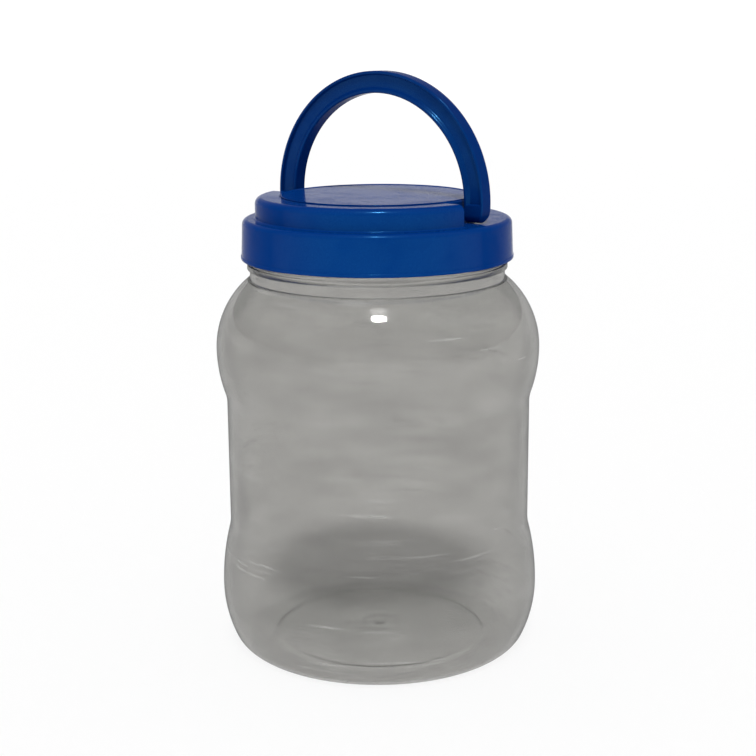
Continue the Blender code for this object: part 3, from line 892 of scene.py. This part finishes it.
def blue_plastic(name, deep, pale, smooth, rough):
    """Moulded glossy plastic with faint flow marks, fine scratches and dull smudges."""
    material, add = new_material(name)
    flow = object_noise(add, *BLUE_FLOW)
    colour = mixed_colour(add, ramp_between(add, flow, *FLOW_RANGE), deep, pale)
    smudge = object_noise(add, *BLUE_SMUDGES)
    speck = object_noise(add, *BLUE_SPECKS)
    dull = ramp_between(add, smudge, *BLUE_SMUDGE_RANGE, rough, rough + BLUE_SMUDGE_ROUGHNESS)
    roughness = add("Mix", {"data_type": "FLOAT"}, i0=ramp_between(add, speck, *BLUE_SPECK_RANGE),
                    i2=smooth, i3=dull).outputs[0]
    warped = bumped(add, BLUE_WARP_BUMP, object_noise(add, *BLUE_WARP))
    fine = bumped(add, BLUE_GRAIN_BUMP, object_noise(add, *BLUE_GRAIN), warped)
    normal = bumped(add, BLUE_SCRATCH_BUMP, object_noise(add, *BLUE_SCRATCHES), fine)
    facing = add("LayerWeight", Blend=FACING_BLEND).outputs["Facing"]
    shine = ramp_between(add, facing, *BLUE_SHINE)
    clean = calculated(add, "MULTIPLY", shine, ramp_between(add, smudge, *BLUE_CLEAN_AMOUNT))
    shader = add("BsdfPrincipled", Base_Color=colour, Roughness=roughness, Normal=normal,
                 IOR=BLUE_IOR, Specular_IOR_Level=clean, Specular_Tint=BLUE_SPECULAR_TINT)
    add("OutputMaterial", Surface=shader.outputs[0])
    return material


def foam():
    """White closed-cell foam with fine pores, painted darker as shade in their hollows."""
    material, add = new_material("foam")
    cells = add("TexVoronoi", Vector=add("TexCoord").outputs["Object"], Scale=FOAM_CELLS)
    height = ramp_between(add, cells.outputs["Distance"], *FOAM_CELL_RANGE)
    normal = bumped(add, FOAM_BUMP, height)
    # Painted shade: the pores are darker where the bump sinks
    colour = mixed_colour(add, height, FOAM_PORE_SHADE_COLOUR, FOAM_COLOUR)
    shader = add("BsdfPrincipled", Base_Color=colour, Roughness=FOAM_ROUGHNESS, Normal=normal)
    add("OutputMaterial", Surface=shader.outputs[0])
    return material


def make_floor():
    """A pale round floor whose rim curves up into a low backdrop."""
    outline = [(0.0, -FLOOR_DROP)]
    outline += [(radius, -FLOOR_DROP) for radius in levels(0.0, FLOOR_RADIUS, FLOOR_STEP)[1:-1]]
    outline += arc((FLOOR_RADIUS, COVE_RADIUS - FLOOR_DROP), COVE_RADIUS, -math.pi / 2, 0, COVE_STEPS)
    mesh_data = bmesh.new()
    rings = []
    for radius, height in outline:
        ring = []
        for side in range(FLOOR_SIDES if radius else 1):
            angle = 2 * math.pi * side / FLOOR_SIDES
            ring.append(mesh_data.verts.new((radius * math.cos(angle), radius * math.sin(angle), height)))
        rings.append(ring)
    for ring, following in zip(rings, rings[1:]):
        for side in range(FLOOR_SIDES):
            after = (side + 1) % FLOOR_SIDES
            corners = [following[side], following[after]]
            corners += [ring[0]] if len(ring) == 1 else [ring[after], ring[side]]
            mesh_data.faces.new(corners)
    material, add = new_material("floor")
    shader = add("BsdfDiffuse", Color=FLOOR_COLOUR, Roughness=0.0)
    add("OutputMaterial", Surface=shader.outputs[0])
    floor = add_object("floor", mesh_data, material)


def set_lights():
    """The even world and the one lamp, which has a wide, soft disc."""
    world = bpy.data.worlds.new("studio")
    bpy.context.scene.world = world
    world.use_nodes = True
    background = world.node_tree.nodes["Background"]
    background.inputs["Color"].default_value = WHITE
    background.inputs["Strength"].default_value = WORLD_LEVEL
    data = bpy.data.lights.new("lamp", "SUN")
    data.energy = LAMP_STRENGTH
    data.angle = LAMP_WIDTH
    lamp = bpy.data.objects.new("lamp", data)
    side = CAMERA_AZIMUTH + LAMP_SIDE
    level = math.cos(LAMP_ELEVATION)
    toward = Vector((math.sin(side) * level, -math.cos(side) * level, math.sin(LAMP_ELEVATION)))
    lamp.rotation_mode = "QUATERNION"
    lamp.rotation_quaternion = toward.to_track_quat("Z", "Y")
    bpy.context.scene.collection.objects.link(lamp)


def place_camera():
    """The camera that was fitted to the photograph."""
    level = Vector((-math.sin(CAMERA_AZIMUTH), math.cos(CAMERA_AZIMUTH), 0.0))
    right = Vector((math.cos(CAMERA_AZIMUTH), math.sin(CAMERA_AZIMUTH), 0.0))
    up = Vector((0.0, 0.0, 1.0))
    level, right = (level * math.cos(CAMERA_YAW) + right * math.sin(CAMERA_YAW),
                    right * math.cos(CAMERA_YAW) - level * math.sin(CAMERA_YAW))
    forward = level * math.cos(CAMERA_PITCH) - up * math.sin(CAMERA_PITCH)
    up = level * math.sin(CAMERA_PITCH) + up * math.cos(CAMERA_PITCH)
    right, up = (right * math.cos(CAMERA_ROLL) - up * math.sin(CAMERA_ROLL),
                 up * math.cos(CAMERA_ROLL) + right * math.sin(CAMERA_ROLL))
    data = bpy.data.cameras.new("camera")
    data.sensor_width = SENSOR_WIDTH
    data.lens = SENSOR_WIDTH * FOCAL_PIXELS / IMAGE_PIXELS
    camera = bpy.data.objects.new("camera", data)
    turn = Matrix((right, up, -forward)).transposed()
    camera.matrix_world = turn.to_4x4()
    camera.location = (CAMERA_DISTANCE * math.sin(CAMERA_AZIMUTH),
                       -CAMERA_DISTANCE * math.cos(CAMERA_AZIMUTH), CAMERA_HEIGHT)
    bpy.context.scene.collection.objects.link(camera)
    bpy.context.scene.camera = camera


def main():
    bpy.context.scene.view_settings.view_transform = "Standard"
    place_camera()
    set_lights()
    make_floor()
    make_jar(clear_plastic())
    make_wad(foam())
    make_lid(blue_plastic("lid_plastic", LID_DEEP_COLOUR, LID_PALE_COLOUR, LID_SMOOTH, LID_ROUGH))
    make_handle(blue_plastic("handle_plastic", HANDLE_DEEP_COLOUR, HANDLE_PALE_COLOUR,
                             HANDLE_SMOOTH, HANDLE_ROUGH))


main()
